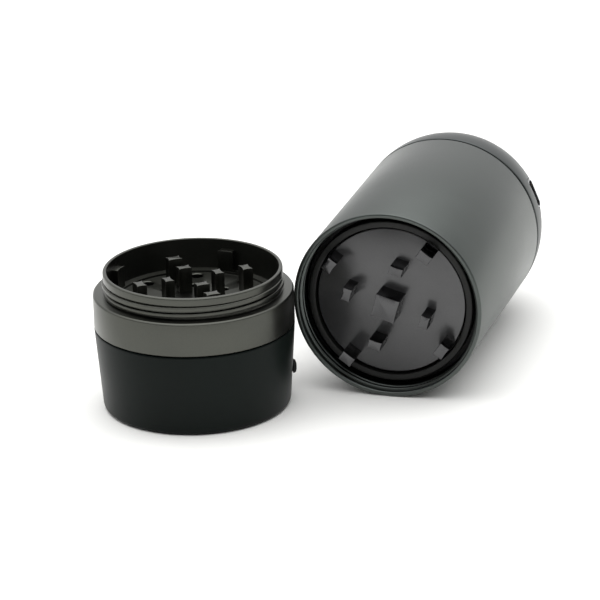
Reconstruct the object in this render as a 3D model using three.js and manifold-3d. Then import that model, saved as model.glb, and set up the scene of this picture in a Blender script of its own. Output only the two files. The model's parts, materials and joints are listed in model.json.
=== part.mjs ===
// Portable motorised herb grinder, opened into its two halves.
// Millimetres, +Z up. The origin is the centre of the collection cup's base, on the surface it stands on.
// The lower half stands upright at the origin; the motor half lies on its side beside it, mouth forward.

import * as THREE from "three";
import { mergeVertices } from "three/addons/utils/BufferGeometryUtils.js";
import Module from "manifold-3d";

const wasm = await Module();
wasm.setup();

// ---- driving dimensions ----

const turnSides = 32; // sides of the large turned shapes
const smallSides = 20; // sides of the small turned shapes
const gap = 0.3; // clearance between pieces that touch

// lower half
const cupHeight = 25.3;
const cupBaseRadius = 28.2;
const cupMouthRadius = 30;
const cupWall = 2.0;
const cupFloor = 1.8;
const bandRadius = 30;
const bandBottom = 25.8;
const bandTop = 36;
const skirtBottom = 20.5;
const skirtRadius = 27.5;
const skirtBore = 25.9;
const neckRoot = 26.4;
const neckCrest = 27.2;
const neckLip = 26.85;
const neckBore = 25.7;
const rimTop = 42.7;
const chamberFloorTop = 32.6;
const chamberFloorBottom = 31;
const shelfTop = 33.3;
const shelfBore = 23.4;
const threadPitch = 1.9;
const threadTurns = 2;
const neckThreadStart = 36.25;
const lipBottom = 40.35;
const fixedToothTop = 40.3;
const fixedCrossAngle = 111.5;
const innerPostRadius = 7.9;
const outerPostRadius = 16.75;
const wallPostAngle = 67.5;
const wallPostRadius = 24.9;
const wallPost = { width: 4.9, depth: 2.6, hollow: 0.3 };
const dropHoleRing = 20.6;
const dropHoleRadius = 1.9;
const innerHoleRing = 12.3;
const innerHoleRadius = 1.5;
const plugAngle = 8;
const plugHeight = 9;
const plugHole = 1.6;

// motor half, measured along its own axis from the mouth inwards
const tubeRadius = 29.03;
const tubeBore = 27.2;
const tubeEnd = 70.9;
const mouthCentre = new THREE.Vector3(57.55, -0.24, tubeRadius);
const layAngle = 15.87;
const mouthBevel = 27.75;
const femaleThreadStart = 2.15;
const femaleCrest = 26.95;
const femaleRoot = 27.6;
const linerFace = 4;
const linerRadius = 25.4;
const linerBore = 23.4;
const flangeRadius = tubeBore - gap;
const flangeStart = 8;
const flangeEnd = 10.2;
const rotorRadius = 22.83;
const rotorFace = 5;
const rotorBack = 7.6;
const rotorToothTip = -2.4;
const rotorInnerRing = 12.45;
const rotorOuterRing = 21;
const rotorInnerAngle = 16.5;
const rotorOuterAngle = 35.9;
const centreToothSide = 7.4;
const shaftRadius = 2;
const bulkheadFront = flangeEnd + gap;
const bulkheadBack = 13.5;
const bearingSeat = 5.3;
const screwRing = 17.8;
const capStart = 71.9;
const domeStart = 73;
const domeHeight = 30.7;
const spigotStart = 66;
const spigotRadius = 26.9;
const capBore = 25.3;
const capInnerStart = 72;
const capInnerHeight = 28.9;
const buttonHole = 7;
const buttonRadius = 6.6;
const portAngle = 68.3;
const portAt = 79.4;
const portLength = 10.2;
const portWidth = 4.6;

// teeth: tangential width, radial depth, and how far each side is hollowed
const innerTooth = { width: 4.1, depth: 2.8, hollow: 0.35 };
const outerTooth = { width: 4.4, depth: 3.1, hollow: 0.35 };
const rotorHollow = 0.12;

// planetary gear train
const gearModule = 0.5;
const sunTeeth = 12;
const planetTeeth = 18;
const ringTeeth = 48;
const planetOrbit = (gearModule * (sunTeeth + planetTeeth)) / 2;
const gearStart = 15.5;
const gearEnd = 19.9;
const toothHalfTip = 0.16;
const toothHalfRoot = 0.42;
const addendum = 0.42;
const dedendum = 0.62;

// ---- shape helpers ----

const radians = THREE.MathUtils.degToRad;

// a turned solid about Z; the profile of [radius, height] pairs runs with its material on the left
function turned(profile, sides = turnSides) {
  const points = profile.map(([r, z]) => new THREE.Vector2(r, z));
  const geometry = new THREE.LatheGeometry(points, sides);
  return geometry.rotateX(Math.PI / 2);
}

// a turned ring or tube, closed on itself
function turnedRing(profile, sides = turnSides) {
  return turned([...profile, profile[0]], sides);
}

function tubeRing(outer, inner, from, to, sides = smallSides) {
  return turnedRing([[inner, from], [outer, from], [outer, to], [inner, to]], sides);
}

function rod(radius, from, to, sides = smallSides) {
  return turned([[0, from], [radius, from], [radius, to], [0, to]], sides);
}

function block(x, y, z, from) {
  return new THREE.BoxGeometry(x, y, z).translate(0, 0, from + z / 2);
}

function extruded(shape, from, to, curveSegments = 2) {
  const options = { depth: to - from, bevelEnabled: false, curveSegments };
  return new THREE.ExtrudeGeometry(shape, options).translate(0, 0, from);
}

// moves a shape out to a radius and turns it round Z
function placed(geometry, radius, angle) {
  return geometry.translate(radius, 0, 0).rotateZ(radians(angle));
}

// a manifold-3d solid from a closed geometry, with shared vertices merged and slivers at poles dropped
function solid(geometry) {
  const plain = geometry.clone();
  plain.deleteAttribute("normal");
  plain.deleteAttribute("uv");
  const merged = mergeVertices(plain, 1e-4);
  const index = merged.index.array;
  const triVerts = [];
  for (let i = 0; i < index.length; i += 3) {
    const [a, b, c] = [index[i], index[i + 1], index[i + 2]];
    if (a !== b && b !== c && c !== a) triVerts.push(a, b, c);
  }
  const vertProperties = new Float32Array(merged.attributes.position.array);
  const mesh = new wasm.Mesh({ numProp: 3, vertProperties, triVerts: new Uint32Array(triVerts) });
  return new wasm.Manifold(mesh);
}

function geometryOf(body) {
  const mesh = body.getMesh();
  const geometry = new THREE.BufferGeometry();
  geometry.setAttribute("position", new THREE.BufferAttribute(new Float32Array(mesh.vertProperties), 3));
  geometry.setIndex(new THREE.BufferAttribute(new Uint32Array(mesh.triVerts), 1));
  return geometry;
}

// joins the added geometries to a base, then cuts the removed ones from it
function built(base, added = [], removed = []) {
  let body = solid(base);
  for (const piece of added) body = body.add(solid(piece));
  for (const piece of removed) body = body.subtract(solid(piece));
  return geometryOf(body);
}

// a four-cornered tooth outline whose sides are hollowed between sharp corners
function toothShape(depth, width, hollow) {
  const x = depth / 2;
  const y = width / 2;
  const shape = new THREE.Shape();
  shape.moveTo(-x, -y);
  shape.quadraticCurveTo(0, -y + 2 * hollow, x, -y);
  shape.quadraticCurveTo(x - 2 * hollow, 0, x, y);
  shape.quadraticCurveTo(0, y - 2 * hollow, -x, y);
  shape.quadraticCurveTo(-x + 2 * hollow, 0, -x, -y);
  return shape;
}

function tooth(size, radius, angle, from, to) {
  return placed(extruded(toothShape(size.depth, size.width, size.hollow), from, to), radius, angle);
}

// a slot outline with round ends, long in Y
function slotShape(length, width) {
  const half = (length - width) / 2;
  const shape = new THREE.Shape();
  shape.absarc(0, half, width / 2, 0, Math.PI, false);
  shape.absarc(0, -half, width / 2, Math.PI, 2 * Math.PI, false);
  return shape;
}

// points round a gear; a sign of -1 points the teeth inwards, as on a ring gear
function gearPoints(teeth, sign, phase) {
  const pitchRadius = (gearModule * teeth) / 2;
  const tip = pitchRadius + sign * addendum;
  const root = pitchRadius - sign * dedendum;
  const points = [];
  for (let i = 0; i < teeth; i++) {
    const middle = (2 * Math.PI * i) / teeth + phase;
    const corners = [
      [root, -toothHalfRoot],
      [tip, -toothHalfTip],
      [tip, toothHalfTip],
      [root, toothHalfRoot],
    ];
    for (const [r, half] of corners) {
      const turn = middle + half / r;
      points.push(new THREE.Vector2(r * Math.cos(turn), r * Math.sin(turn)));
    }
  }
  return points;
}

function dome(start, radius, height, fromAngle, toAngle, steps) {
  const points = [];
  for (let i = 0; i <= steps; i++) {
    const turn = fromAngle + ((toAngle - fromAngle) * i) / steps;
    points.push([radius * Math.cos(turn), start + height * Math.sin(turn)]);
  }
  return points;
}

// ---- the assembly ----

const group = new THREE.Group();
group.name = "herb_grinder";
const motorHalf = new THREE.Group();
const up = new THREE.Vector3(0, 0, 1);
const inward = new THREE.Vector3(Math.sin(radians(layAngle)), Math.cos(radians(layAngle)), 0);
const across = new THREE.Vector3().crossVectors(inward, up);
motorHalf.quaternion.setFromRotationMatrix(new THREE.Matrix4().makeBasis(up, across, inward));
motorHalf.position.copy(mouthCentre);
group.add(motorHalf);

function add(parent, name, geometry, color, roughness, metalness) {
  const mesh = new THREE.Mesh(geometry, new THREE.MeshStandardMaterial({ color, roughness, metalness }));
  mesh.name = name;
  parent.add(mesh);
  return mesh;
}

const gunmetal = ["#6a6d69", 0.38, 0.8];
const darkMetal = ["#4c4d4b", 0.35, 0.85];
const blackShell = ["#262826", 0.42, 0];
const blackPlastic = ["#161716", 0.5, 0];
const blackRubber = ["#141414", 0.75, 0];
const brightSteel = ["#b9bbbd", 0.3, 1];
const bronze = ["#a98a52", 0.4, 0.9];
const boardGreen = ["#1d5a38", 0.45, 0];
const cellWrap = ["#2f6fa8", 0.35, 0];

// ---- lower half ----

function plugPlace(geometry) {
  return geometry.rotateY(Math.PI / 2).rotateZ(radians(plugAngle)).translate(0, 0, plugHeight);
}

function collectionCup() {
  const seat = 28.9;
  const seatDepth = 1.3;
  const profile = [
    [0, 0],
    [cupBaseRadius - 1.6, 0],
    [cupBaseRadius - 0.5, 0.45],
    [cupBaseRadius, 1.5],
    [cupMouthRadius, cupHeight - 0.2],
    [cupMouthRadius - 0.2, cupHeight],
    [seat, cupHeight],
    [seat, cupHeight - seatDepth],
    [cupMouthRadius - cupWall, cupHeight - seatDepth],
    [cupMouthRadius - cupWall, skirtBottom - 1],
    [cupBaseRadius - cupWall + 0.3, cupFloor + 3],
    [cupBaseRadius - cupWall - 2.6, cupFloor],
    [0, cupFloor],
  ];
  return built(turned(profile), [], [plugPlace(rod(plugHole + gap, 20, 35))]);
}

function sidePlug() {
  const profile = [
    [0, 26.1],
    [plugHole + 0.1, 26.1],
    [plugHole, 26.6],
    [plugHole, 29.1],
    [2.15, 29.1],
    [2.1, 29.6],
    [1.5, 30.05],
    [0, 30.25],
  ];
  return plugPlace(turned(profile, 16));
}

function cupSeal() {
  return tubeRing(28.7, 27.75, cupHeight - 0.9, cupHeight + 0.25, turnSides);
}

function neckThread() {
  const points = [];
  for (let i = 0; i < threadTurns; i++) {
    const z = neckThreadStart + i * threadPitch;
    points.push([neckRoot, z], [neckCrest, z + threadPitch / 2]);
  }
  points.push([neckRoot, neckThreadStart + threadTurns * threadPitch]);
  return points;
}

function chamberRing() {
  const profile = [
    [0, chamberFloorBottom],
    [skirtBore, chamberFloorBottom],
    [skirtBore, skirtBottom],
    [skirtRadius, skirtBottom],
    [skirtRadius, bandBottom],
    [bandRadius - 0.3, bandBottom],
    [bandRadius, bandBottom + 0.3],
    [bandRadius, bandTop - 0.4],
    [bandRadius - 0.4, bandTop],
    [neckRoot, bandTop],
    ...neckThread(),
    [neckLip, lipBottom],
    [neckLip, rimTop - 0.3],
    [neckLip - 0.35, rimTop],
    [neckBore, rimTop],
    [neckBore, shelfTop],
    [shelfBore, shelfTop],
    [shelfBore, chamberFloorTop],
    [0, chamberFloorTop],
  ];
  const posts = [];
  const holes = [];
  const sunk = chamberFloorTop - 0.5;
  for (let i = 0; i < 4; i++) {
    const angle = fixedCrossAngle + 90 * i;
    posts.push(tooth(innerTooth, innerPostRadius, angle, sunk, fixedToothTop));
    posts.push(tooth(outerTooth, outerPostRadius, angle, sunk, fixedToothTop));
    const wallAngle = wallPostAngle + 90 * i;
    posts.push(tooth(wallPost, wallPostRadius, wallAngle, sunk, fixedToothTop - 0.6));
  }
  for (let i = 0; i < 8; i++) {
    const from = chamberFloorBottom - 1;
    const to = chamberFloorTop + 0.5;
    holes.push(placed(rod(dropHoleRadius, from, to, 12), dropHoleRing, fixedCrossAngle + 22.5 + 45 * i));
    holes.push(placed(rod(innerHoleRadius, from, to, 8), innerHoleRing, fixedCrossAngle + 22.5 + 45 * i));
  }
  return built(turned(profile), posts, holes);
}

add(group, "collection_cup", collectionCup(), ...blackShell);
add(group, "side_plug", sidePlug(), ...blackRubber);
add(group, "cup_seal", cupSeal(), ...blackRubber);
add(group, "chamber_ring", chamberRing(), ...gunmetal);

// ---- motor half: shells ----

function motorTube() {
  const profile = [
    [mouthBevel, 0],
    [tubeRadius - 0.2, 0],
    [tubeRadius, 0.2],
    [tubeRadius, tubeEnd],
    [tubeBore, tubeEnd],
    [tubeBore, flangeStart - 0.4],
    [femaleRoot, flangeStart - 0.8],
  ];
  for (let i = threadTurns; i >= 0; i--) {
    const crestAt = femaleThreadStart + i * threadPitch;
    profile.push([femaleRoot, crestAt + threadPitch / 2], [femaleCrest, crestAt]);
  }
  profile.push([mouthBevel, 0.3]);
  return turnedRing(profile);
}

function linerRing() {
  return turnedRing([
    [linerBore, linerFace],
    [linerRadius - 0.3, linerFace],
    [linerRadius, linerFace + 0.3],
    [linerRadius, flangeStart],
    [flangeRadius, flangeStart],
    [flangeRadius, flangeEnd],
    [linerBore, flangeEnd],
  ]);
}

function seamGasket() {
  return tubeRing(28.4, 27.3, tubeEnd + gap, capStart - gap, turnSides);
}

// turns a shape built about the port's own outward axis to its place in the cap's side
function portPlace(geometry) {
  return geometry.rotateY(Math.PI / 2).rotateZ(radians(portAngle)).translate(0, 0, portAt);
}

function endCap() {
  const holeAngle = Math.acos(buttonHole / tubeRadius);
  const innerHoleAngle = Math.acos(buttonHole / capBore);
  const profile = [
    [capBore, spigotStart],
    [spigotRadius, spigotStart],
    [spigotRadius, capStart],
    [tubeRadius - 0.2, capStart],
    [tubeRadius, capStart + 0.2],
    ...dome(domeStart, tubeRadius, domeHeight, 0, holeAngle, 8),
    ...dome(capInnerStart, capBore, capInnerHeight, innerHoleAngle, 0, 5),
  ];
  const slot = portPlace(extruded(slotShape(portLength, portWidth), 18, 34, 5));
  return built(turnedRing(profile), [], [slot]);
}

function powerButton() {
  const edgeAngle = Math.acos(buttonRadius / tubeRadius);
  return turned(
    [
      [0, 96.9],
      [1.6, 96.9],
      [1.6, 97.9],
      [8, 97.9],
      [8, 99],
      [buttonRadius, 99],
      ...dome(domeStart, tubeRadius, domeHeight, edgeAngle, Math.PI / 2, 3),
    ],
    28,
  );
}

add(motorHalf, "motor_tube", motorTube(), ...gunmetal);
add(motorHalf, "liner_ring", linerRing(), ...blackPlastic);
add(motorHalf, "seam_gasket", seamGasket(), ...blackRubber);
add(motorHalf, "end_cap", endCap(), ...gunmetal);
add(motorHalf, "power_button", powerButton(), ...blackPlastic);

// ---- motor half: rotor and gear train ----

function rotorPlate() {
  const hubBack = 9.9;
  const base = turned([
    [0, rotorFace],
    [rotorRadius - 0.25, rotorFace],
    [rotorRadius, rotorFace + 0.25],
    [rotorRadius, rotorBack],
    [6, rotorBack],
    [6, hubBack],
    [shaftRadius + gap, hubBack],
    [shaftRadius + gap, rotorBack + 0.4],
    [0, rotorBack + 0.4],
  ]);
  const sunk = rotorFace + 0.5;
  const teeth = [];
  const centre = extruded(toothShape(centreToothSide, centreToothSide, rotorHollow), rotorToothTip, sunk);
  teeth.push(centre.rotateZ(radians(rotorInnerAngle)));
  for (let i = 0; i < 4; i++) {
    const [inner, outer] = [innerTooth, outerTooth].map((size) => ({ ...size, hollow: rotorHollow }));
    teeth.push(tooth(inner, rotorInnerRing, rotorInnerAngle + 90 * i, rotorToothTip, sunk));
    teeth.push(tooth(outer, rotorOuterRing, rotorOuterAngle + 90 * i, rotorToothTip, sunk));
  }
  return built(base, teeth);
}

function gearCarrier() {
  const pins = [0, 120, 240].map((angle) => placed(rod(1, 15, gearEnd + 0.3, 12), planetOrbit, angle));
  const base = turned([
    [0, rotorBack + 0.7],
    [shaftRadius, rotorBack + 0.7],
    [shaftRadius, 14],
    [10.5, 14],
    [10.5, 15.2],
    [0, 15.2],
  ], 24);
  return built(base, pins);
}

function planetGear() {
  const shape = new THREE.Shape(gearPoints(planetTeeth, 1, Math.PI / planetTeeth));
  const bore = new THREE.Path();
  bore.absarc(0, 0, 1 + gap, 0, 2 * Math.PI, true);
  shape.holes.push(bore);
  return extruded(shape, gearStart, gearEnd, 6);
}

function motorPinion() {
  const gear = extruded(new THREE.Shape(gearPoints(sunTeeth, 1, 0)), gearStart, gearEnd);
  return built(gear, [rod(1, gearEnd - 0.5, 26.8, 12)]);
}

function ringGear() {
  const flange = tubeRing(20.5, 13.5, 13.8, 15.8, 24);
  const shape = new THREE.Shape();
  shape.absarc(0, 0, 15.2, 0, 2 * Math.PI, false);
  shape.holes.push(new THREE.Path(gearPoints(ringTeeth, -1, 0)));
  const body = extruded(shape, 13.8, 21.4, 12);
  return built(body, [flange], screwPlaces(() => rod(1.5, 13, 17, 12)));
}

function screwPlaces(make) {
  return [60, 180, 300].map((angle) => placed(make(), screwRing, angle));
}

function bulkhead() {
  const base = tubeRing(flangeRadius, bearingSeat, bulkheadFront, bulkheadBack, turnSides);
  const cuts = [
    ...screwPlaces(() => rod(2.9, bulkheadFront - 1, bulkheadFront + 1.8, 12)),
    ...screwPlaces(() => rod(1.5, bulkheadFront, bulkheadBack + 1, 12)),
  ];
  return built(base, [], cuts);
}

function headedScrew(headRadius, shankRadius, from, headEnd, to) {
  return turned([
    [0, from],
    [headRadius, from],
    [headRadius, headEnd],
    [shankRadius, headEnd],
    [shankRadius, to],
    [0, to],
  ], 12);
}

add(motorHalf, "rotor_plate", rotorPlate(), ...darkMetal);
add(motorHalf, "bulkhead", bulkhead(), ...blackPlastic);
screwPlaces(() => headedScrew(2.6, 1.2, bulkheadFront + 0.1, bulkheadFront + 1.5, 15.6)).forEach(
  (screw, i) => add(motorHalf, `bulkhead_screw_${i + 1}`, screw, ...brightSteel),
);
const sealRing = tubeRing(bearingSeat - gap, shaftRadius + gap, bulkheadFront + 0.1, bulkheadFront + 1.3);
add(motorHalf, "shaft_seal", sealRing, ...blackRubber);
const bearingRing = tubeRing(bearingSeat - gap, shaftRadius + gap, bulkheadFront + 1.6, bulkheadBack);
add(motorHalf, "output_bearing", bearingRing, ...bronze);
add(motorHalf, "ring_gear", ringGear(), ...blackPlastic);
add(motorHalf, "gear_carrier", gearCarrier(), ...brightSteel);
[0, 120, 240].forEach((angle, i) => {
  add(motorHalf, `planet_gear_${i + 1}`, placed(planetGear(), planetOrbit, angle), ...brightSteel);
});
add(motorHalf, "motor_pinion", motorPinion(), ...brightSteel);

// ---- motor half: motor, battery and electronics ----

const motorScrewRing = 8;
const motorFront = 23.6;
const motorBack = 48.5;
const frameFront = 51;
const frameFrontEnd = 53.4;
const cellEnd = 88.6;
const cellRadius = 9;
const cellOffset = 9.3;

// two places on a ring, in line with the battery cells
function motorScrewPlaces(make) {
  return [portAngle, portAngle + 180].map((angle) => placed(make(), motorScrewRing, angle));
}

function motorPlate() {
  const base = tubeRing(15.2, 4, 21.8, 23.3, 28);
  return built(base, [], motorScrewPlaces(() => rod(1.2, 21, 24, 12)));
}

function motorCan() {
  const base = turned([
    [0, motorFront],
    [11.7, motorFront],
    [12.2, motorFront + 0.5],
    [12.2, motorBack - 0.5],
    [11.7, motorBack],
    [0, motorBack],
  ], 28);
  const bore = rod(1.3, motorFront - 1, 27.4, 12);
  return built(base, [], [bore, ...motorScrewPlaces(() => rod(1.2, motorFront - 1, motorFront + 2.8, 12))]);
}

// turns a shape whose +X is the way out through the port to its place
function facingPort(geometry) {
  return geometry.rotateZ(radians(portAngle));
}

function batteryFrame() {
  const front = rod(24.4, frameFront, frameFrontEnd, 32);
  const back = rod(15.5, 89.6, 91.2, 32);
  const rails = [-11.9, 11.9].map((x) => facingPort(block(2.2, 8, 37.2, 53).translate(x, 0, 0)));
  const posts = [70, 82].map((z) => facingPort(block(6.4, 3, 3, z).translate(15.6, 0, 0)));
  const feet = [0, 180].map((angle) => placed(block(3, 3, 1.4, 90.7), 7, angle + portAngle));
  const notch = facingPort(block(12, 13, 5, frameFront - 1).translate(20, 0, 0));
  return built(front, [back, ...rails, ...posts, ...feet], [notch]);
}

function batteryCell(side) {
  const start = frameFrontEnd + gap;
  const cell = turned([
    [0, start],
    [3, start],
    [3, start + 0.6],
    [cellRadius - 0.4, start + 0.6],
    [cellRadius, start + 1],
    [cellRadius, cellEnd - 0.4],
    [cellRadius - 0.4, cellEnd],
    [0, cellEnd],
  ], 24);
  return facingPort(cell.translate(0, side * cellOffset, 0));
}

function chargingSocket() {
  const housing = extruded(slotShape(9.5, 3.9), 20.5, 28.2, 5);
  const mouth = extruded(slotShape(8.6, 2.9), 22, 29, 5);
  const tongue = new THREE.BoxGeometry(0.7, 6.4, 6.2).translate(0, 0, 24.6);
  return portPlace(geometryOf(solid(housing).subtract(solid(mouth)).add(solid(tongue))));
}

// an insulated lead as a tube along a smooth route; side is which way it sits from the middle
function motorLead(side) {
  const route = [
    [8, 3, 49.4],
    [11, 3.2, 49.9],
    [15, 3.4, 50.2],
    [17.4, 3.6, 52.4],
    [18.6, 3.6, 56],
    [19.6, 3.6, 61.5],
  ];
  const curve = new THREE.CatmullRomCurve3(route.map(([x, y, z]) => new THREE.Vector3(x, side * y, z)));
  const section = new THREE.Shape();
  section.absarc(0, 0, 0.6, 0, 2 * Math.PI, false);
  const options = { steps: 12, extrudePath: curve, curveSegments: 4, bevelEnabled: false };
  return facingPort(new THREE.ExtrudeGeometry(section, options));
}

function tactileSwitch() {
  return built(block(6, 6, 1.8, 93.7), [rod(1.6, 95.2, 95.9, 12)]);
}

add(motorHalf, "motor_plate", motorPlate(), ...brightSteel);
motorScrewPlaces(() => headedScrew(1.9, 0.9, 20.5, 21.5, 26)).forEach((screw, i) =>
  add(motorHalf, `motor_screw_${i + 1}`, screw, ...brightSteel),
);
add(motorHalf, "motor_can", motorCan(), ...brightSteel);
add(motorHalf, "battery_frame", batteryFrame(), ...blackPlastic);
add(motorHalf, "battery_cell_1", batteryCell(1), ...cellWrap);
add(motorHalf, "battery_cell_2", batteryCell(-1), ...cellWrap);
add(motorHalf, "cell_strip", facingPort(block(6, 22, 0.4, 88.9)), ...brightSteel);
add(motorHalf, "charge_board", facingPort(block(1.2, 15, 24, 62).translate(19.6, 0, 0)), ...boardGreen);
add(motorHalf, "charging_socket", chargingSocket(), ...blackPlastic);
add(motorHalf, "switch_board", rod(10, 92.4, 93.4, 24), ...boardGreen);
add(motorHalf, "tactile_switch", tactileSwitch(), ...blackPlastic);
add(motorHalf, "motor_lead_red", motorLead(1), "#a32822", 0.5, 0);
add(motorHalf, "motor_lead_black", motorLead(-1), "#1b1b1b", 0.5, 0);

export default group;
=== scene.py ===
import json
import math

import bmesh
import bpy
from mathutils import Matrix, Vector


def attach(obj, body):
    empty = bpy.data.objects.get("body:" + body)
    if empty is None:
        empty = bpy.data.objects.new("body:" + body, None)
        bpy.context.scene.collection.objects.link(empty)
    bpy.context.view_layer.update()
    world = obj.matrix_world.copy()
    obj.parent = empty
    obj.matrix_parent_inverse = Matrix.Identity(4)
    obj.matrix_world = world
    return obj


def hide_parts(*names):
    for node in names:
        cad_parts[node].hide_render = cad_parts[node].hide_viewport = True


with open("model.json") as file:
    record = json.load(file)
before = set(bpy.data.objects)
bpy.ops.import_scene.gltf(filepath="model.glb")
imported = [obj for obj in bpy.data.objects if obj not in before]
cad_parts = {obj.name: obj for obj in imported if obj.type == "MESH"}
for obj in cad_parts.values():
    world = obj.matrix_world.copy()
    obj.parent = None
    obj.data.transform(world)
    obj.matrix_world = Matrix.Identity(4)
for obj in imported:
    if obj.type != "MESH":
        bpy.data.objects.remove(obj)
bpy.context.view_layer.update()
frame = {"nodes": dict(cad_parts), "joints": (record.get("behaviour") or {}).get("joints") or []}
scene = bpy.context.scene
print("frame loaded")

# Shapes are drawn in millimetres: the lower half about its own upright axis, the motor half
# about its tube's axis, with z counted from the mouth inwards and x pointing up.
spin = next(joint for joint in frame["joints"] if joint["name"] == "rotor_spin")
inward = Vector(spin["axis"]).normalized()
upward = Vector((0, 0, 1))
motorPlace = Matrix((upward, inward.cross(upward), inward)).transposed().to_4x4()
motorPlace.translation = Vector(spin["pos_m"])
lowerPlace = Matrix.Identity(4)


# camera

camera = {
    "place": (0.05542, -1.28214, 0.50972),  # metres
    "target": (0.031315, 0.02, 0.024108),
    "lens": 275.4,
    "sensor": 36,
    "roll": -1.8,  # degrees
}


def setCamera():
    data = bpy.data.cameras.new("camera")
    data.lens = camera["lens"]
    data.sensor_width = camera["sensor"]
    holder = bpy.data.objects.new("camera", data)
    scene.collection.objects.link(holder)
    look = (Vector(camera["target"]) - Vector(camera["place"])).normalized()
    level = look.cross(upward).normalized()
    roll = math.radians(camera["roll"])
    right = level * math.cos(roll) + level.cross(look) * math.sin(roll)
    turn = Matrix((right, right.cross(look), -look)).transposed().to_4x4()
    holder.matrix_world = Matrix.Translation(camera["place"]) @ turn
    scene.camera = holder


setCamera()
print("camera set")


# materials

def linear(hexColour):
    values = [int(hexColour[i : i + 2], 16) / 255 for i in (1, 3, 5)]
    return [v / 12.92 if v <= 0.04045 else ((v + 0.055) / 1.055) ** 2.4 for v in values] + [1]


def addNode(tree, kind, inputs=None, **settings):
    node = tree.nodes.new(kind)
    for name, value in settings.items():
        setattr(node, name, value)
    for name, value in (inputs or {}).items():
        if isinstance(value, bpy.types.NodeSocket):
            tree.links.new(value, node.inputs[name])
        else:
            node.inputs[name].default_value = value
    return node


def makeFinish(name, finish):
    # grain is the size of the fine texture, patch the size of the slow drift in colour, both in mm;
    # rings is the pitch of turning or winding marks about the piece's axis
    material = bpy.data.materials.new(name)
    material.use_nodes = True
    tree = material.node_tree
    shader = tree.nodes["Principled BSDF"]
    shader.inputs["Metallic"].default_value = finish.get("metallic", 0)
    if "ior" in finish:
        shader.inputs["IOR"].default_value = finish["ior"]
    if "specular" in finish:
        shader.inputs["Specular IOR Level"].default_value = finish["specular"]
    if "coat" in finish:
        shader.inputs["Coat Weight"].default_value = finish["coat"]
        shader.inputs["Coat Roughness"].default_value = finish["coatRoughness"]
    place = addNode(tree, "ShaderNodeTexCoord").outputs["Object"]
    patch = addNode(tree, "ShaderNodeTexNoise", {
        "Vector": place, "Scale": 1000 / finish["patch"], "Detail": 3, "Roughness": 0.55,
    }).outputs["Fac"]
    grain = addNode(tree, "ShaderNodeTexNoise", {
        "Vector": place, "Scale": 1000 / finish["grain"], "Detail": 2, "Roughness": 0.5,
    }).outputs["Fac"]
    drift = addNode(tree, "ShaderNodeMapRange", {
        "Value": patch, "From Min": 0.35, "From Max": 0.65, "To Min": 0, "To Max": 0.7,
    }).outputs["Result"]
    fleck = addNode(tree, "ShaderNodeMapRange", {
        "Value": grain, "From Min": 0.35, "From Max": 0.65, "To Min": 0, "To Max": 0.3,
    }).outputs["Result"]
    blend = addNode(tree, "ShaderNodeMath", {0: drift, 1: fleck}, operation="ADD").outputs[0]
    # a mix node's colour sockets are told apart by place: 6 and 7 in, 2 out
    colour = addNode(tree, "ShaderNodeMix", {
        "Factor": blend, 6: linear(finish["dark"]), 7: linear(finish["light"]),
    }, data_type="RGBA").outputs[2]
    tree.links.new(colour, shader.inputs["Base Color"])
    gloss = addNode(tree, "ShaderNodeMapRange", {
        "Value": blend, "To Min": finish["rough"][0], "To Max": finish["rough"][1],
    }).outputs["Result"]
    tree.links.new(gloss, shader.inputs["Roughness"])
    height = grain
    if "rings" in finish:
        # turning marks: the wave makes 20 / 2 pi rings a unit, so its scale follows from the pitch
        aligned = addNode(tree, "ShaderNodeMapping", {
            "Vector": place, "Location": motorPlace.translation, "Rotation": motorPlace.to_euler(),
        }, vector_type="TEXTURE").outputs["Vector"]
        marks = addNode(tree, "ShaderNodeTexWave", {
            "Vector": aligned, "Scale": 1000 / finish["rings"] * math.pi / 10, "Distortion": 0.6, "Detail": 1,
        }, wave_type="RINGS", rings_direction="Z").outputs["Fac"]
        height = addNode(tree, "ShaderNodeMath", {0: marks, 1: finish["ringShare"], 2: grain},
                         operation="MULTIPLY_ADD").outputs[0]
    bump = addNode(tree, "ShaderNodeBump", {
        "Height": height, "Distance": finish["depth"] / 1000, "Strength": finish["strength"],
    })
    tree.links.new(bump.outputs["Normal"], shader.inputs["Normal"])
    return material


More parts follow.
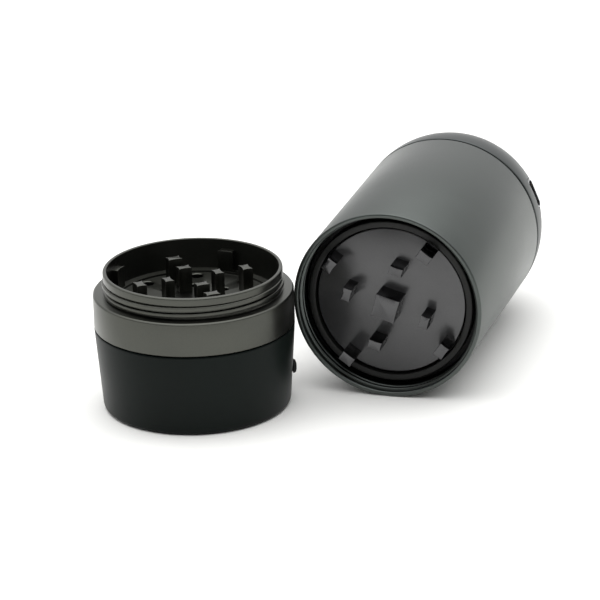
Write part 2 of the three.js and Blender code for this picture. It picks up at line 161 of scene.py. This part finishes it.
finishes = {
    # bead-blasted, anodised aluminium of the motor half: satin cool grey with a fine even sparkle
    "blastedAluminium": dict(dark="#4e5250", light="#555957", metallic=1, rough=(0.34, 0.42),
                             patch=34, grain=0.45, depth=0.006, strength=0.55),
    # the same finish on the drawn cap, its colour a shade darker than the tube: painted shade for the dimmer
    # light round the cap
    "capAluminiumPaintedShade": dict(dark="#464949", light="#4c4f4f", metallic=1, rough=(0.34, 0.42),
                             patch=26, grain=0.45, depth=0.006, strength=0.55),
    # turned and tumbled, anodised aluminium of the chamber: warmer and smoother, so its threads glint
    "turnedAluminium": dict(dark="#4a4b47", light="#50514c", metallic=1, rough=(0.28, 0.35),
                            patch=24, grain=0.5, depth=0.004, strength=0.45),
    # faced, dark-anodised aluminium: the dyed film is slightly milky, so the plate mirrors its teeth softly
    "facedAluminium": dict(dark="#4c4c4d", light="#535354", metallic=0.6, rough=(0.18, 0.25),
                           patch=14, grain=0.5, depth=0.0012, strength=0.3, rings=0.6, ringShare=0.04),
    # milled, dark-anodised aluminium of the teeth: semi-gloss, black on the sides that nothing lights
    "milledAluminium": dict(dark="#4c4c4d", light="#525253", metallic=1, rough=(0.15, 0.21),
                            patch=14, grain=0.5, depth=0.0012, strength=0.3),
    # moulded ABS with a satin tool finish: near black, a soft sheen at the edges
    "mouldedAbs": dict(dark="#090f0d", light="#0e1513", rough=(0.34, 0.42), ior=1.53, specular=0.1,
                       patch=26, grain=0.5, depth=0.006, strength=0.45),
    # moulded glass-filled nylon: duller black with a little mottling
    "mouldedNylon": dict(dark="#090a09", light="#10110f", rough=(0.44, 0.52), ior=1.53, specular=0.3,
                         patch=12, grain=0.5, depth=0.008, strength=0.45),
    # moulded silicone rubber: deep black and soft, almost no shine
    "mouldedRubber": dict(dark="#0c0c0c", light="#131313", rough=(0.6, 0.72), ior=1.41,
                          patch=9, grain=0.4, depth=0.008, strength=0.4),
    # drawn, nickel-plated steel: bright grey with a faint drift from the drawing die
    "drawnSteel": dict(dark="#a4a6a8", light="#bcbec0", metallic=1, rough=(0.22, 0.32),
                       patch=8, grain=0.3, depth=0.003, strength=0.4),
    # hobbed, oiled steel: darker gear metal, smooth on the teeth
    "hobbedSteel": dict(dark="#85878a", light="#9c9ea1", metallic=1, rough=(0.28, 0.38),
                        patch=4, grain=0.25, depth=0.003, strength=0.4),
    # sintered bronze: warm and porous, pores drawn at a tenth of a millimetre and up
    "sinteredBronze": dict(dark="#7d5c33", light="#b98f55", metallic=1, rough=(0.38, 0.52),
                           patch=1.2, grain=0.22, depth=0.02, strength=0.7),
    # solder-masked fibreglass: deep green under a clear glossy film
    "solderMask": dict(dark="#123f28", light="#1c5a39", rough=(0.3, 0.42), ior=1.5, coat=0.6,
                       coatRoughness=0.15, patch=5, grain=0.35, depth=0.01, strength=0.4),
    # heat-shrunk PVC sleeve: thin blue plastic drawn tight, with long soft ripples
    "shrunkSleeve": dict(dark="#1c5284", light="#2f72aa", rough=(0.26, 0.36), ior=1.54, coat=0.3,
                         coatRoughness=0.2, patch=9, grain=1.6, depth=0.05, strength=0.5),
    # extruded PVC insulation, red and black: smooth and waxy
    "redInsulation": dict(dark="#8f1d17", light="#b03029", rough=(0.36, 0.46), ior=1.54,
                          patch=3, grain=0.3, depth=0.01, strength=0.3),
    "blackInsulation": dict(dark="#121212", light="#1e1e1e", rough=(0.36, 0.46), ior=1.54,
                            patch=3, grain=0.3, depth=0.01, strength=0.3),
    # gold-plated contacts: warm, smooth and bright
    "platedContact": dict(dark="#c99a3c", light="#e0b456", metallic=1, rough=(0.18, 0.26),
                          patch=1, grain=0.2, depth=0.002, strength=0.3),
}
materials = {name: makeFinish(name, finish) for name, finish in finishes.items()}
print(f"{len(materials)} materials made")


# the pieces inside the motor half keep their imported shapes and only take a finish
innerFinishes = {
    "mouldedNylon": ("bulkhead", "ring_gear", "battery_frame", "tactile_switch"),
    "mouldedRubber": ("shaft_seal",),
    "drawnSteel": ("bulkhead_screw_1", "bulkhead_screw_2", "bulkhead_screw_3", "motor_plate", "motor_can",
                   "motor_screw_1", "motor_screw_2", "cell_strip"),
    "hobbedSteel": ("gear_carrier", "planet_gear_1", "planet_gear_2", "planet_gear_3", "motor_pinion"),
    "sinteredBronze": ("output_bearing",),
    "solderMask": ("charge_board", "switch_board"),
    "shrunkSleeve": ("battery_cell_1", "battery_cell_2"),
    "redInsulation": ("motor_lead_red",),
    "blackInsulation": ("motor_lead_black",),
}
for finishName, nodeNames in innerFinishes.items():
    for nodeName in nodeNames:
        frame["nodes"][nodeName].data.materials[0] = materials[finishName]
print("inner pieces finished")


# modelling helpers

def turned(profile, steps=160, closed=False):
    # spins a line of (radius, height) points about the upright axis
    shape = bmesh.new()
    points = [shape.verts.new((radius, 0, height)) for radius, height in profile]
    pairs = list(zip(points, points[1:])) + ([(points[-1], points[0])] if closed else [])
    edges = [shape.edges.new(pair) for pair in pairs]
    bmesh.ops.spin(shape, geom=points + edges, cent=(0, 0, 0), axis=(0, 0, 1), dvec=(0, 0, 0),
                   angle=2 * math.pi, steps=steps, use_merge=True, use_duplicate=False)
    bmesh.ops.remove_doubles(shape, verts=shape.verts[:], dist=1e-4)
    bmesh.ops.recalc_face_normals(shape, faces=shape.faces[:])
    return shape


def softened(shape, width, segments=2, over=25):
    # rounds every edge that turns by more than some degrees
    corners = [edge for edge in shape.edges
               if len(edge.link_faces) == 2 and edge.calc_face_angle() > math.radians(over)]
    bmesh.ops.bevel(shape, geom=corners, offset=width, offset_type="OFFSET", segments=segments,
                    profile=0.5, affect="EDGES", material=-1, clamp_overlap=True)
    return shape


def moved(shape, place):
    bmesh.ops.transform(shape, matrix=place, verts=shape.verts[:])
    return shape


def joined(*shapes):
    # gathers shapes into the first one
    mesh = bpy.data.meshes.new("gathered")
    for shape in shapes[1:]:
        shape.to_mesh(mesh)
        shapes[0].from_mesh(mesh)
        shape.free()
    bpy.data.meshes.remove(mesh)
    return shapes[0]


def cutAway(shape, cutter):
    parts = []
    for source in (shape, cutter):
        mesh = bpy.data.meshes.new("cutting")
        source.to_mesh(mesh)
        source.free()
        parts.append(bpy.data.objects.new("cutting", mesh))
        scene.collection.objects.link(parts[-1])
    cut = parts[0].modifiers.new("cut", "BOOLEAN")
    cut.operation = "DIFFERENCE"
    cut.solver = "EXACT"
    cut.object = parts[1]
    result = bmesh.new()
    result.from_object(parts[0], bpy.context.evaluated_depsgraph_get())
    for part in parts:
        bpy.data.meshes.remove(part.data)
    return result


def thread(root, crest, pitch, start, turns, steps=120, fade=0.12):
    # a ridge wound round a cylinder, running out to nothing at both ends; its foot is sunk in the wall
    shape = bmesh.new()
    into = 0.15 if crest > root else -0.15
    foot, top = pitch * 0.46, pitch * 0.29
    sunk = root - into
    section = [(sunk, -foot), (root, -foot), (crest, -top), (crest, top), (root, foot), (sunk, foot)]
    ring = [shape.verts.new((radius, 0, start + height)) for radius, height in section]
    edges = [shape.edges.new(pair) for pair in zip(ring, ring[1:] + ring[:1])]
    count = round(steps * turns)
    bmesh.ops.spin(shape, geom=ring + edges, cent=(0, 0, 0), axis=(0, 0, 1),
                   dvec=(0, 0, pitch / steps), angle=2 * math.pi * count / steps, steps=count,
                   use_merge=False, use_duplicate=False)
    shape.verts.ensure_lookup_table()
    for i, vert in enumerate(shape.verts):
        along = min(i // len(section), count - i // len(section)) / (steps * fade)
        radius = math.hypot(vert.co.x, vert.co.y)
        if along < 1 and (radius - root) * into > 0:
            lowered = (root + (radius - root) * along) / radius
            vert.co.x *= lowered
            vert.co.y *= lowered
    ends = [edge for edge in shape.edges if edge.is_boundary]
    bmesh.ops.holes_fill(shape, edges=ends, sides=0)
    bmesh.ops.recalc_face_normals(shape, faces=shape.faces[:])
    return shape


def tooth(size, radius, angle, bottom, top, edge=0.08):
    # a square peg with hollowed sides between sharp corners
    shape = bmesh.new()
    depth, width, hollow = size
    corners = [shape.verts.new((x * depth / 2, y * width / 2, bottom))
               for x, y in ((-1, -1), (1, -1), (1, 1), (-1, 1))]
    for pair in zip(corners, corners[1:] + corners[:1]):
        shape.edges.new(pair)
    bmesh.ops.subdivide_edges(shape, edges=shape.edges[:], cuts=9)
    for vert in shape.verts:
        across, along = vert.co.x / (depth / 2), vert.co.y / (width / 2)
        if abs(abs(along) - 1) < 1e-6:
            vert.co.y -= math.copysign(hollow * (1 - across * across), along)
        if abs(abs(across) - 1) < 1e-6:
            vert.co.x -= math.copysign(hollow * (1 - along * along), across)
    bmesh.ops.contextual_create(shape, geom=shape.edges[:])
    raised = bmesh.ops.extrude_face_region(shape, geom=shape.faces[:], use_keep_orig=True)
    lifted = [item for item in raised["geom"] if isinstance(item, bmesh.types.BMVert)]
    bmesh.ops.translate(shape, verts=lifted, vec=(0, 0, top - bottom))
    bmesh.ops.recalc_face_normals(shape, faces=shape.faces[:])
    softened(shape, edge, segments=2, over=30)
    turn = Matrix.Rotation(math.radians(angle), 4, "Z")
    return moved(shape, turn @ Matrix.Translation((radius, 0, 0)))


def drill(radius, radiusTop, bottom, top, place, steps=40):
    # a cylinder for cutting, flared at its top into a small countersink
    flare = radiusTop - radius
    return moved(turned([(0, bottom), (radius, bottom), (radius, top - flare), (radiusTop, top),
                         (radiusTop, top + 1), (0, top + 1)], steps), place)


def slotBar(length, width, bottom, top, steps=16):
    # a bar with round ends, long in y
    shape = bmesh.new()
    bmesh.ops.create_circle(shape, segments=steps * 2, radius=width / 2, cap_ends=True)
    for vert in shape.verts:
        vert.co.y += math.copysign((length - width) / 2, vert.co.y) if abs(vert.co.y) > 1e-6 else 0
    raised = bmesh.ops.extrude_face_region(shape, geom=shape.faces[:], use_keep_orig=True)
    lifted = [item for item in raised["geom"] if isinstance(item, bmesh.types.BMVert)]
    bmesh.ops.translate(shape, verts=lifted, vec=(0, 0, top - bottom))
    bmesh.ops.recalc_face_normals(shape, faces=shape.faces[:])
    return moved(shape, Matrix.Translation((0, 0, bottom)))


def domeLine(start, radius, height, first, last, steps):
    # points of a quarter ellipse, from angle first to angle last
    turns = [first + (last - first) * i / steps for i in range(steps + 1)]
    return [(radius * math.cos(turn), start + height * math.sin(turn)) for turn in turns]


def addPiece(shape, name, material, body, place, replaced=(), sharp=38):
    moved(shape, place @ Matrix.Scale(0.001, 4))
    mesh = bpy.data.meshes.new(name)
    shape.to_mesh(mesh)
    shape.free()
    mesh.materials.append(materials[material])
    mesh.shade_smooth()
    mesh.set_sharp_from_angle(angle=math.radians(sharp))
    piece = bpy.data.objects.new(name, mesh)
    scene.collection.objects.link(piece)
    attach(piece, body)
    if replaced:
        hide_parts(*replaced)
    return piece


# collection cup

cup = {
    "height": 25.3,
    "baseRadius": 28.2,
    "mouthRadius": 30,
    "wall": 2,
    "floor": 1.8,
    "sealSeat": (28.9, 1.3),  # radius, depth
    "footRing": (24.6, 0.35),  # radius, and depth of the recess inside it
    "innerCorner": (4.8, 19.5),  # heights where the inner wall starts and where it straightens
    "plugAngle": 8,  # degrees round from +x
    "plugHeight": 9,
    "plugHole": 1.9,
    "plugOutline": [(0, 26.1), (1.7, 26.1), (1.6, 26.6), (1.6, 29.1), (2.15, 29.1), (2.13, 29.5),
                    (1.85, 29.9), (1.1, 30.15), (0, 30.25)],
    "sealOutline": [(27.75, 24.4), (28.7, 24.4), (28.7, 25.2), (28.5, 25.45), (27.95, 25.45), (27.75, 25.2)],
}
sideways = Matrix.Rotation(math.radians(90), 4, "Y")
plugPlace = (Matrix.Translation((0, 0, cup["plugHeight"]))
             @ Matrix.Rotation(math.radians(cup["plugAngle"]), 4, "Z") @ sideways)


def makeCup():
    height, base, mouth = cup["height"], cup["baseRadius"], cup["mouthRadius"]
    seat, seatDepth = cup["sealSeat"]
    foot, recess = cup["footRing"]
    cornerLow, cornerHigh = cup["innerCorner"]
    shelf, inside = height - seatDepth, mouth - cup["wall"]
    shape = turned([
        (0, recess), (foot - 0.4, recess), (foot, 0), (base - 1.5, 0),
        (base - 0.75, 0.35), (base - 0.2, 0.9), (base, 1.7), (mouth, height - 0.25), (mouth - 0.25, height),
        (seat, height), (seat, shelf), (inside, shelf), (inside, cornerHigh),
        (base - 1.7, cornerLow), (base - 2.5, 2.6), (base - 4.6, cup["floor"]), (0, cup["floor"]),
    ], 192)
    softened(shape, 0.18, 2, 20)
    hole = turned([(0, 20), (cup["plugHole"], 20), (cup["plugHole"], 35), (0, 35)], 32)
    shape = cutAway(shape, moved(hole, plugPlace))
    addPiece(shape, "collectionCup", "mouldedAbs", "lower_half", lowerPlace, ["collection_cup"])
    plug = softened(turned(cup["plugOutline"], 40), 0.06, 2, 40)
    addPiece(moved(plug, plugPlace), "sidePlug", "mouldedRubber", "side_plug",
             lowerPlace, ["side_plug"])
    seal = turned(cup["sealOutline"], 160, closed=True)
    addPiece(softened(seal, 0.1, 2, 20), "cupSeal", "mouldedRubber", "seal",
             lowerPlace, ["cup_seal"])


makeCup()
print("collection cup made")


# chamber ring with its posts

chamber = {
    "band": (25.58, 36, 30),  # bottom, top, radius
    "skirt": (20.5, 25.9, 27.5),  # bottom, bore, radius
    "neckRoot": 26.4,
    "neckCrest": 27.2,
    "lipRadius": 26.85,
    "neckBore": 25.7,
    "rimTop": 42.7,
    "floor": (31, 32.6),  # bottom, top
    "shelf": (33.3, 23.4),  # height, bore
    "thread": (1.9, 36.85, 1.6),  # pitch, start, turns
    "threadFrom": 166,
    "lipBottom": 40.35,
    "postTop": 40.3,
    "crossAngle": 111.5,
    "innerPost": (2.8, 4.1, 0.36),  # depth, width, hollow of each side
    "outerPost": (3.1, 4.4, 0.38),
    "wallPost": (2.6, 4.9, 0.3),
    "postRings": (7.9, 16.75, 24.9),  # inner, outer, wall
    "wallPostTurn": -44,  # degrees on from the cross of posts
    "wallPostDrop": 0.6,
    "holeCount": 8,
    "holes": ((20.6, 1.9), (12.3, 1.5)),  # ring radius, hole radius
}


def makeChamber():
    bandLow, bandHigh, band = chamber["band"]
    skirtLow, skirtBore, skirt = chamber["skirt"]
    root, crest, bore = chamber["neckRoot"], chamber["neckCrest"], chamber["neckBore"]
    lip, lipLow, rim = chamber["lipRadius"], chamber["lipBottom"], chamber["rimTop"]
    floorLow, floorTop = chamber["floor"]
    shelfTop, shelfBore = chamber["shelf"]
    shape = turned([
        (0, floorLow), (skirtBore, floorLow), (skirtBore, skirtLow),
        (skirt - 0.2, skirtLow), (skirt, skirtLow + 0.2),
        (skirt, bandLow), (band - 0.3, bandLow), (band, bandLow + 0.3), (band, bandHigh - 0.45),
        (band - 0.45, bandHigh), (root + 0.3, bandHigh), (root, bandHigh + 0.3), (root, lipLow - 0.3),
        (lip, lipLow), (lip, rim - 0.35), (lip - 0.3, rim), (bore + 0.15, rim), (bore, rim - 0.15),
        (bore, shelfTop), (shelfBore, shelfTop), (shelfBore, floorTop), (0, floorTop),
    ], 192)
    softened(shape, 0.12, 2, 20)
    holes = []
    for i in range(chamber["holeCount"]):
        angle = chamber["crossAngle"] + 360 * (i + 0.5) / chamber["holeCount"]
        turn = Matrix.Rotation(math.radians(angle), 4, "Z")
        for ring, radius in chamber["holes"]:
            holes.append(drill(radius, radius + 0.25, floorLow - 1, floorTop + 0.02,
                               turn @ Matrix.Translation((ring, 0, 0))))
    shape = cutAway(shape, joined(*holes))
    sunk, top = floorTop - 0.5, chamber["postTop"]
    innerRing, outerRing, wallRing = chamber["postRings"]
    posts = []
    for i in range(4):
        turn = chamber["crossAngle"] + 90 * i
        posts.append(tooth(chamber["innerPost"], innerRing, turn, sunk, top))
        posts.append(tooth(chamber["outerPost"], outerRing, turn, sunk, top))
        posts.append(tooth(chamber["wallPost"], wallRing, turn + chamber["wallPostTurn"], sunk,
                           top - chamber["wallPostDrop"]))
    ridge = softened(thread(root, crest, *chamber["thread"]), 0.1, 2, 30)
    moved(ridge, Matrix.Rotation(math.radians(chamber["threadFrom"]), 4, "Z"))
    shape = joined(shape, *posts, ridge)
    addPiece(shape, "chamberRing", "turnedAluminium", "chamber", lowerPlace, ["chamber_ring"])


makeChamber()
print("chamber ring made")


# motor tube, liner, gasket and end cap

tube = {
    "radius": 29.03,
    "bore": 27.2,
    "end": 70.9,
    "rimBore": 27.75,
    "threadRoot": 27.6,
    "threadCrest": 26.95,
    "thread": (1.9, 1.55, 2.4),  # pitch, start, turns
    "linerFace": 4,
    "liner": (23.4, 25.4),  # bore, radius
    "capStart": 71.9,
    "domeStart": 73,
    "domeHeight": 30.7,
    "spigot": (66, 26.9),  # start, radius
    "capBore": 25.3,
    "innerDome": (72, 28.9),  # start, height
    "buttonHole": 7,
    "portAngle": 68.3,
    "portAt": 79.4,
    "port": (10.2, 4.6),  # length, width
    "gasketOutline": [(27.3, 71.2), (28.25, 71.2), (28.4, 71.32), (28.4, 71.48), (28.25, 71.6), (27.3, 71.6)],
    "buttonOutline": [(0, 96.9), (1.6, 96.9), (1.6, 97.9), (8, 97.9), (8, 99), (6.6, 99)],
    "buttonRadius": 6.6,
}
portPlace = (Matrix.Translation((0, 0, tube["portAt"]))
             @ Matrix.Rotation(math.radians(tube["portAngle"]), 4, "Z") @ sideways)


def makeMotorShells():
    radius, bore, end = tube["radius"], tube["bore"], tube["end"]
    root, mouth = tube["threadRoot"], tube["rimBore"]
    shell = turned([
        (mouth, 0.1), (mouth + 0.1, 0), (radius - 0.45, 0), (radius - 0.12, 0.14), (radius, 0.5),
        (radius, end - 0.15), (radius - 0.15, end), (bore, end), (bore, 7.6), (root, 7.2), (root, 0.25),
    ], 224, closed=True)
    softened(shell, 0.08, 2, 20)
    ridge = thread(root, tube["threadCrest"], *tube["thread"])
    addPiece(joined(shell, softened(ridge, 0.08, 2, 30)), "motorTube", "blastedAluminium", "motor_half",
             motorPlace, ["motor_tube"])
    inner, outer = tube["liner"]
    face = tube["linerFace"]
    liner = turned([(inner, face), (outer - 0.3, face), (outer, face + 0.3), (outer, 8), (26.9, 8),
                    (26.9, 10.2), (inner, 10.2)], 192, closed=True)
    addPiece(softened(liner, 0.15, 3, 20), "linerRing", "mouldedNylon", "motor_half",
             motorPlace, ["liner_ring"])
    gasket = turned(tube["gasketOutline"], 192, closed=True)
    addPiece(gasket, "seamGasket", "mouldedRubber", "motor_half", motorPlace, ["seam_gasket"])


def makeEndCap():
    radius, start, bore = tube["radius"], tube["capStart"], tube["capBore"]
    hole = tube["buttonHole"]
    spigotStart, spigot = tube["spigot"]
    innerStart, innerHeight = tube["innerDome"]
    outerLine = domeLine(tube["domeStart"], radius, tube["domeHeight"], 0,
                         math.acos((hole + 0.25) / radius), 40)
    lipHeight = outerLine[-1][1] - 0.2
    innerLine = domeLine(innerStart, bore, innerHeight, math.acos(hole / bore), 0, 28)
    cap = turned([
        (bore, spigotStart), (spigot - 0.25, spigotStart), (spigot, spigotStart + 0.25), (spigot, start),
        (radius - 0.2, start), (radius, start + 0.2), *outerLine, (hole, lipHeight), *innerLine,
    ], 224, closed=True)
    softened(cap, 0.08, 2, 30)
    cap = cutAway(cap, moved(slotBar(*tube["port"], 18, 34, 14), portPlace))
    # the cap takes the tube's finish darkened, as painted shade for the dimmer light at that end
    addPiece(cap, "endCap", "capAluminiumPaintedShade", "motor_half", motorPlace, ["end_cap"])
    crown = domeLine(tube["domeStart"], radius, tube["domeHeight"],
                     math.acos(tube["buttonRadius"] / radius), math.pi / 2, 10)
    button = turned([*tube["buttonOutline"], *crown], 96)
    addPiece(softened(button, 0.2, 3, 40), "powerButton", "mouldedNylon", "button",
             motorPlace, ["power_button"])


socket = {
    "shell": (9.5, 3.9, 20.5, 28.2),  # length, width, from, to
    "mouth": (8.6, 2.9, 22, 29),
    "tongue": (0.7, 6.4, 21.5, 27.7),  # thickness, width, from, to
    "contacts": 8,
    "contactPitch": 0.7,
    "pad": (0.06, 0.34),  # thickness, width
}


def bar(x, y, low, high, edge, place=Matrix()):
    shape = bmesh.new()
    bmesh.ops.create_cube(shape, size=1)
    size = Matrix.Diagonal((x, y, high - low, 1))
    moved(shape, Matrix.Translation((0, 0, (low + high) / 2)) @ size)
    return moved(softened(shape, edge), place)


def makeSocket():
    shell = cutAway(slotBar(*socket["shell"], 16), slotBar(*socket["mouth"], 16))
    addPiece(moved(shell, portPlace), "socketShell", "drawnSteel", "motor_half", motorPlace,
             ["charging_socket"])
    thick, wide, low, high = socket["tongue"]
    addPiece(bar(thick, wide, low, high, 0.08, portPlace), "socketTongue", "mouldedNylon", "motor_half",
             motorPlace)
    pads = []
    for i in range(socket["contacts"]):
        along = (i - (socket["contacts"] - 1) / 2) * socket["contactPitch"]
        for side in (-1, 1):
            place = Matrix.Translation((side * thick / 2, along, 0))
            pads.append(bar(*socket["pad"], low + 1, high - 0.5, 0.015, place))
    addPiece(moved(joined(*pads), portPlace), "socketContacts", "platedContact", "motor_half",
             motorPlace)


makeMotorShells()
makeEndCap()
makeSocket()
print("motor half shells made")


# rotor

rotor = {
    "radius": 22.83,
    "face": 5,
    "back": 7.6,
    "hub": (6, 9.9),  # radius, end
    "socket": (2.3, 8),  # radius and end of the hole for the shaft
    "toothTip": -2.4,
    "centreTooth": (7.4, 7.4, 0.12),  # depth, width, hollow of each side
    "innerTooth": (2.8, 4.1, 0.12),
    "outerTooth": (3.1, 4.4, 0.12),
    "innerRing": (12.45, 16.5),  # radius, angle of its first tooth
    "outerRing": (21, 35.9),
}


def makeRotor():
    radius, face, back = rotor["radius"], rotor["face"], rotor["back"]
    hub, hubBack = rotor["hub"]
    drive, driveEnd = rotor["socket"]
    plate = turned([
        (0, face), (radius - 0.35, face), (radius - 0.1, face + 0.1), (radius, face + 0.35), (radius, back),
        (hub, back), (hub, hubBack), (drive, hubBack), (drive, driveEnd), (0, driveEnd),
    ], 192)
    softened(plate, 0.08, 2, 30)
    sunk = face + 0.5
    teeth = [tooth(rotor["centreTooth"], 0, rotor["innerRing"][1], rotor["toothTip"], sunk)]
    for i in range(4):
        for size, (ring, angle) in ((rotor["innerTooth"], rotor["innerRing"]),
                                    (rotor["outerTooth"], rotor["outerRing"])):
            teeth.append(tooth(size, ring, angle + 90 * i, rotor["toothTip"], sunk))
    addPiece(plate, "rotorPlate", "facedAluminium", "rotor", motorPlace, ["rotor_plate"])
    addPiece(joined(*teeth), "rotorTeeth", "milledAluminium", "rotor", motorPlace)


makeRotor()
print("rotor made")


# light, floor and backdrop

studio = {
    "floorSize": 6,
    "floorColour": "#f4f4f2",
    "floorRough": 0.9,
    "floorSpecular": 0.1,
    "skyFront": 0.12,
    "skyBack": 1.0,
    "skyBlend": 0.4,
    "overhead": 2.4,
    "overheadFrom": 0.45,
}


def makeStudio():
    bm = bmesh.new()
    bmesh.ops.create_grid(bm, x_segments=1, y_segments=1, size=studio["floorSize"] / 2)
    mesh = bpy.data.meshes.new("floor")
    bm.to_mesh(mesh)
    bm.free()
    floor = bpy.data.objects.new("floor", mesh)
    scene.collection.objects.link(floor)
    material = bpy.data.materials.new("paintedFloor")
    material.use_nodes = True
    shader = material.node_tree.nodes["Principled BSDF"]
    shader.inputs["Base Color"].default_value = linear(studio["floorColour"])
    shader.inputs["Roughness"].default_value = studio["floorRough"]
    shader.inputs["Specular IOR Level"].default_value = studio["floorSpecular"]
    mesh.materials.append(material)

    world = bpy.data.worlds.new("studio")
    scene.world = world
    world.use_nodes = True
    tree = world.node_tree
    # dim in front so that open mouths stay dark, bright behind, and brightest overhead for the floor
    direction = addNode(tree, "ShaderNodeTexCoord").outputs["Generated"]
    parts = addNode(tree, "ShaderNodeSeparateXYZ", {"Vector": direction})
    back = addNode(tree, "ShaderNodeMapRange", {
        "Value": parts.outputs["Y"], "From Min": -studio["skyBlend"], "From Max": studio["skyBlend"],
        "To Min": studio["skyFront"], "To Max": studio["skyBack"],
    }, interpolation_type="SMOOTHSTEP").outputs["Result"]
    rise = addNode(tree, "ShaderNodeMapRange", {
        "Value": parts.outputs["Z"], "From Min": studio["overheadFrom"], "From Max": 1,
        "To Min": 0, "To Max": studio["overhead"],
    }, interpolation_type="SMOOTHSTEP").outputs["Result"]
    total = addNode(tree, "ShaderNodeMath", {0: back, 1: rise}, operation="ADD").outputs[0]
    tree.links.new(total, tree.nodes["Background"].inputs["Strength"])
    tree.nodes["Background"].inputs["Color"].default_value = (1, 1, 1, 1)


makeStudio()
scene.view_settings.view_transform = "Standard"
scene.view_settings.look = "None"
print("studio made")
